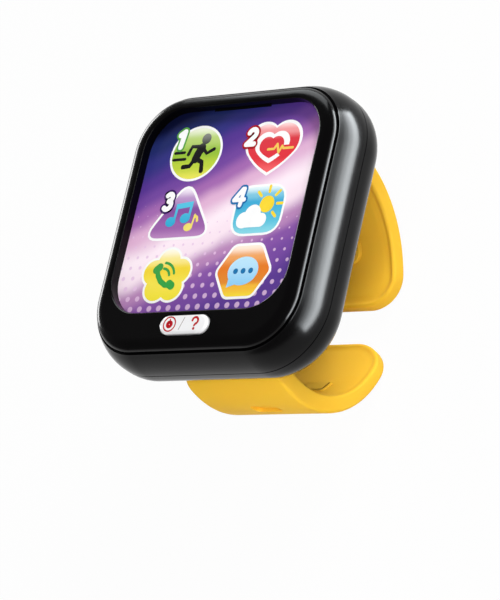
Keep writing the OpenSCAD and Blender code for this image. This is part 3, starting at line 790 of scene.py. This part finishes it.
for digit, x, y, edge, wide in (("1", -14.05, 18.35, "5aa246", 1.25), ("2", 3.9, 17.55, "a5161f", 1.1),
                                ("3", -13.75, 5.0, "3b1d5e", 1.1), ("4", 4.4, 4.85, "1f6fae", 0.95)):
    path = [[(x + (u + lean * v) * size, y + v * size) for u, v in line] for line in digits[digit]]
    edges = [stroke(line, wide + margin) for line in path]
    decal("digit edge " + digit, ink("edge " + digit, edge), edges, 6)
    decal("digit " + digit, paper_white, [stroke(line, wide) for line in path], 7)
decal("sensor strip", night, [[(-7.4, 23.85), (6.9, 23.85), (6.9, 24.2), (-7.4, 24.2)]], 1)

red = ink("red ink", "b3121e", rough=0.25)
on_button = dict(body="button", slot="button_white", base=BUTTON_TOP)
decal("power ring", red, [stroke(arc(-3.3, PILL_Y, 1.45, 0, 355, 40), 0.28)], 0, **on_button)
decal("power sign", red, [stroke(arc(-3.3, -22.3, 0.46, 125, 415, 24), 0.74),
                         stroke([(-3.3, -22.1), (-3.3, -21.3)], 0.3)], 0, **on_button)
decal("button slash", ink("slash ink", "a9a19d"),
      [stroke([(-0.75, -23.45), (0.2, -21.05)], 0.18)], 0, **on_button)
decal("question sign", red, [
    stroke(arc(3.0, -21.75, 0.7, 175, -60, 14), 0.46), stroke([(3.28, -22.3), (2.98, -22.7)], 0.46),
    oval(2.95, -23.35, 0.29)], 0, **on_button)


# Finishes of the pieces that keep their construction mesh
slots = {
    "film_print": face_print(),
    "key_rubber": plain("silicone rubber", (0.8, 0.8, 0.77), 0.5, vary=0.05,
                        grain=(2.0, 0.1, 0.00003)),
    "carbon": plain("carbon rubber", (0.03, 0.03, 0.03), 0.7, grain=(3.0, 0.2, 0.00003)),
    "board_green": plain("board green", (0.02, 0.16, 0.07), 0.4, vary=0.3, per_mm=0.3),
    "resin_black": plain("potting resin", (0.015, 0.015, 0.015), 0.35, grain=(0.8, 0.2, 0.00005)),
    "capacitor_sleeve": plain("shrink sleeve", (0.03, 0.035, 0.12), 0.35),
    "steel": plain("plated steel", (0.62, 0.62, 0.63), 0.3, 1.0, per_mm=1.0,
                   grain=(2.0, 0.1, 0.00002)),
    "foam": plain("foam", (0.07, 0.07, 0.07), 0.9, grain=(2.5, 0.4, 0.00005)),
    "speaker_grey": plain("pressed grey basket", (0.1, 0.11, 0.12), 0.45, 0.6),
    "cone_film": plain("clear cone film", (0.7, 0.7, 0.67), 0.25),
    "cell_can": plain("nickel can", (0.72, 0.72, 0.7), 0.22, 1.0),
    "brass": plain("spring brass", (0.72, 0.52, 0.2), 0.3, 1.0),
    "button_white": white,
    "case_black": black,
    "strap_yellow": yellow,
}
wanted = {s["node"]: s["material_slot"] for s in frame["record"]["subparts"]}
for name, obj in frame["nodes"].items():
    obj.data.materials.clear()
    obj.data.materials.append(slots[wanted[name]])


def spring_dome():
    """Rubber dome under the button, built in its resting shape; the real dome flattens as the button
    goes down.
    """
    obj = empty_mesh("spring dome")
    profile = ((1.1, 44.3), (1.1, 43.5), (2.3, 43.5), (1.7, 44.62), (1.62, 44.76), (1.5, 44.8))
    skin([ring(2 * r, 2 * r, r - 0.001, z, KEY_Y, 0, 8) for r, z in profile], low=True, high=True)
    leave()
    done(obj, "case", slots["key_rubber"], ["button_dome"])
    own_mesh(obj)


spring_dome()

# Floor, light and camera
deselect()
bpy.ops.mesh.primitive_plane_add(size=60, location=(0, 0, -0.0001))
floor = named("floor")
paper = Paint("pale floor", (0.6, 0.6, 0.6), 0.9, Specular_IOR_Level=0.0)
paper.set("Base Color", paper.mix(paper.noise(0.002, 2.0), (0.59, 0.59, 0.59), (0.61, 0.61, 0.61)))
seen = paper.node("LightPath", "Is Camera Ray")
for kind in ("Is Glossy Ray", "Is Transmission Ray"):
    seen = seen.maths("MAXIMUM", seen, paper.node("LightPath", kind))
seen = seen * 0.97
glow = paper.node("Emission", Color=(1, 1, 1), Strength=1.0)
lifted = paper.node("MixShader", Fac=seen, i1=Sock(paper.tree, paper.shader.outputs[0]), i2=glow)
paper.tree.links.new(lifted.socket, paper.tree.nodes["Material Output"].inputs["Surface"])
floor.data.materials.append(paper.material)

world = bpy.data.worlds.new("studio")
bpy.context.scene.world = world
world.use_nodes = True
world.node_tree.nodes["Background"].inputs["Color"].default_value = (1, 1, 1, 1)
world.node_tree.nodes["Background"].inputs["Strength"].default_value = 0.19


def softbox(name, toward, distance, w, h, radiance, color=(1, 1, 1), target=(0, 0, 0.04)):
    """Rectangular light in a direction from the target, by the brightness of its face."""
    direction = Vector(toward).normalized()
    deselect()
    bpy.ops.object.light_add(type="AREA", location=Vector(target) + direction * distance)
    light = bpy.context.object
    light.name = name
    light.data.shape, light.data.size, light.data.size_y = "RECTANGLE", w, h
    light.data.energy, light.data.color = radiance * pi * w * h, color
    light.rotation_euler = (-direction).to_track_quat("-Z", "Y").to_euler()
    return light


# Fills light surfaces and strips only show in reflections
far = 0.8
for name, toward, level, w, h in (("key", (0.55, -0.32, 0.77), 0.55, 0.4, 0.3),
                                  ("rear fill", (0.43, 0.75, 0.48), 0.87, 0.3, 0.2),
                                  ("front fill", (0.42, -0.85, 0.28), 0.36, 0.5, 0.3)):
    fill = softbox(name, toward, far, w, h, level * far ** 2 / (w * h) * pi)
    fill.visible_glossy = False
strips = []
for tilt, h, level in ((-22, 0.011, 34.0), (-15, 0.014, 42.0), (-6.5, 0.016, 28.0),
                       (2.5, 0.016, 13.0), (11.5, 0.016, 5.0)):
    aside, rise = cos(radians(tilt)), sin(radians(tilt))
    strips.append(softbox("side strip", (0.957 * aside, 0.29 * aside, rise), 0.1, 0.28, h, level,
                          (0.92, 0.97, 1.0), (0.027, 0, 0.042)))
strips += [softbox("back strip", (-0.285, 0.935, 0.36), 0.6, 0.5, 0.34, 5.5, (0.94, 0.98, 1.0)),
           softbox("left strip", (-0.93, 0.33, 0.1), 0.5, 0.3, 0.14, 13.0)]
for strip in strips:
    strip.visible_diffuse = False

bpy.ops.object.camera_add()
camera = named("camera")
camera.matrix_world = Matrix(((0.77124, 0.03729, 0.63545, 0.4070),
                              (0.21431, 0.92479, -0.31437, -0.2118),
                              (-0.59938, 0.37864, 0.70525, 0.4831), (0, 0, 0, 1)))
camera.data.lens = 198
camera.data.sensor_width = 36
bpy.context.scene.camera = camera
bpy.context.scene.view_settings.view_transform = "Standard"
